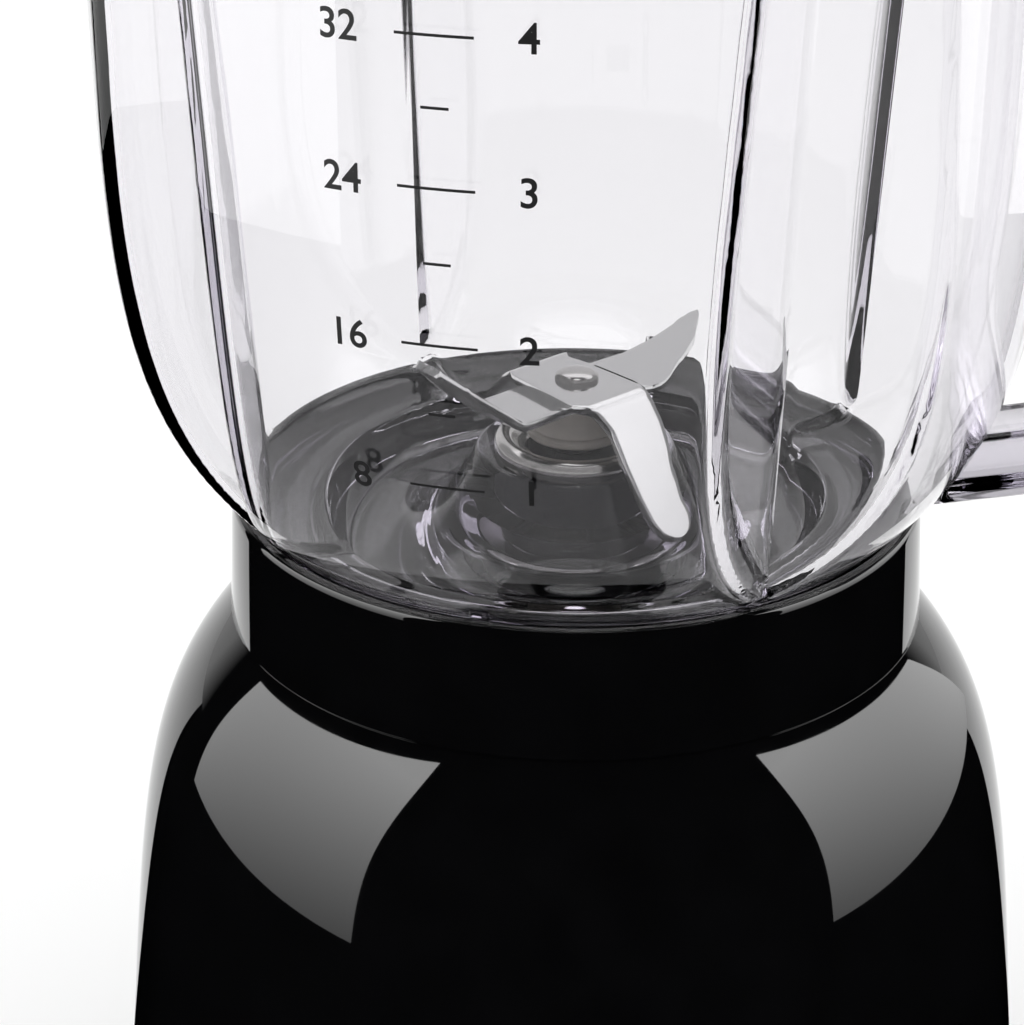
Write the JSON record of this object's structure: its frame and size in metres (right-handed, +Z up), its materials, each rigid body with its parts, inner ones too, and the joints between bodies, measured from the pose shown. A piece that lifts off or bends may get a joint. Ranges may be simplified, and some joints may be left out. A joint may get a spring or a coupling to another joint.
{
  "type": "countertop blender",
  "caption": "Countertop blender with a domed glossy black motor base and collar, a clear fluted jug with a handle, a bladed drive unit, a lid and a filler cap.",
  "frame": {"origin": "middle of the base's underside, on the spin axis, in the plane of the feet", "axes": "+Z up along the spin axis, +X towards the jug's handle, -Y towards the side of the jug with the scale; the base's button panel faces 57 degrees from -Y towards +X"},
  "size_m": [0.1818, 0.145, 0.3114],
  "materials": {
    "rubber": "matt",
    "black_plastic": "satin",
    "zinc": "plated",
    "gloss_black": "high gloss",
    "collar_black": "high gloss",
    "switch_plastic": "satin",
    "board": "satin",
    "lamination": "bare",
    "copper": "enamelled",
    "bracket_aluminium": "die cast",
    "bronze": "sintered",
    "brass": "bare",
    "carbon": "matt",
    "button_grey": "satin gloss",
    "shaft_steel": "ground",
    "commutator_copper": "turned",
    "fan_plastic": "satin",
    "coupling_rubber": "matt",
    "clear_plastic": "clear, polished",
    "cup_steel": "polished",
    "gasket_rubber": "matt",
    "spacer_plastic": "satin",
    "blade_steel": "bright",
    "clear_cap": "clear"
  },
  "bodies": {
    "base": {"rubber_feet": "rubber", "base_plate": "black_plastic", "base_screws": "zinc", "base_housing": "gloss_black", "collar": "collar_black", "collar_screws": "zinc", "cord_gland": "black_plastic", "button_bezel": "black_plastic", "switches": "switch_plastic", "circuit_board": "board", "stator_core": "lamination", "field_coils": "copper", "lower_bracket": "bracket_aluminium", "upper_bracket": "bracket_aluminium", "bracket_bolts": "zinc", "lower_bearing": "bronze", "upper_bearing": "bronze", "brush_holders": "brass", "carbon_brushes": "carbon", "motor_mounts": "rubber"},
    "low_key": {"button_low": "button_grey"},
    "high_key": {"button_high": "button_grey"},
    "pulse_key": {"button_pulse": "button_grey"},
    "rotor": {"motor_shaft": "shaft_steel", "rotor_core": "lamination", "rotor_windings": "copper", "commutator": "commutator_copper", "cooling_fan": "fan_plastic", "drive_coupling": "coupling_rubber"},
    "jug": {"jug_body": "clear_plastic", "jug_handle": "clear_plastic", "bearing_cup": "cup_steel", "shaft_bushing": "bronze", "shaft_seal": "rubber", "cup_gasket": "gasket_rubber", "cup_nut": "black_plastic"},
    "blades": {"blade_shaft": "shaft_steel", "blade_spacer": "spacer_plastic", "upper_blade": "blade_steel", "lower_blade": "blade_steel", "driven_coupling": "coupling_rubber"},
    "lid": {"lid": "black_plastic", "lid_gasket": "gasket_rubber"},
    "cap": {"filler_cap": "clear_cap"}
  },
  "joints": [
    {"name": "low_press", "type": "slide", "parent": "base", "child": "low_key", "axis": [-0.8387, 0.5446, 0], "range_m": [0, 0.0018], "stiffness_N_per_m": 700, "springref_m": -0.001},
    {"name": "high_press", "type": "slide", "parent": "base", "child": "high_key", "axis": [-0.8387, 0.5446, 0], "range_m": [0, 0.0018], "stiffness_N_per_m": 700, "springref_m": -0.001},
    {"name": "pulse_press", "type": "slide", "parent": "base", "child": "pulse_key", "axis": [-0.8387, 0.5446, 0], "range_m": [0, 0.0018], "stiffness_N_per_m": 700, "springref_m": -0.001},
    {"name": "rotor_spin", "type": "hinge", "parent": "base", "child": "rotor", "pos_m": [0, 0, 0.06], "axis": [0, 0, 1], "continuous": true},
    {"name": "jug_lift", "type": "slide", "parent": "base", "child": "jug", "axis": [0, 0, 1], "range_m": [0, 0.08]},
    {"name": "blade_spin", "type": "hinge", "parent": "jug", "child": "blades", "pos_m": [0, 0, 0.15], "axis": [0, 0, 1], "continuous": true},
    {"name": "lid_lift", "type": "slide", "parent": "jug", "child": "lid", "axis": [0, 0, 1], "range_m": [0, 0.06]},
    {"name": "cap_lift", "type": "slide", "parent": "lid", "child": "cap", "axis": [0, 0, 1], "range_m": [0, 0.05]}
  ],
  "couplings": [
    {"joint": "blade_spin", "follows": "rotor_spin", "ratio": 1}
  ]
}
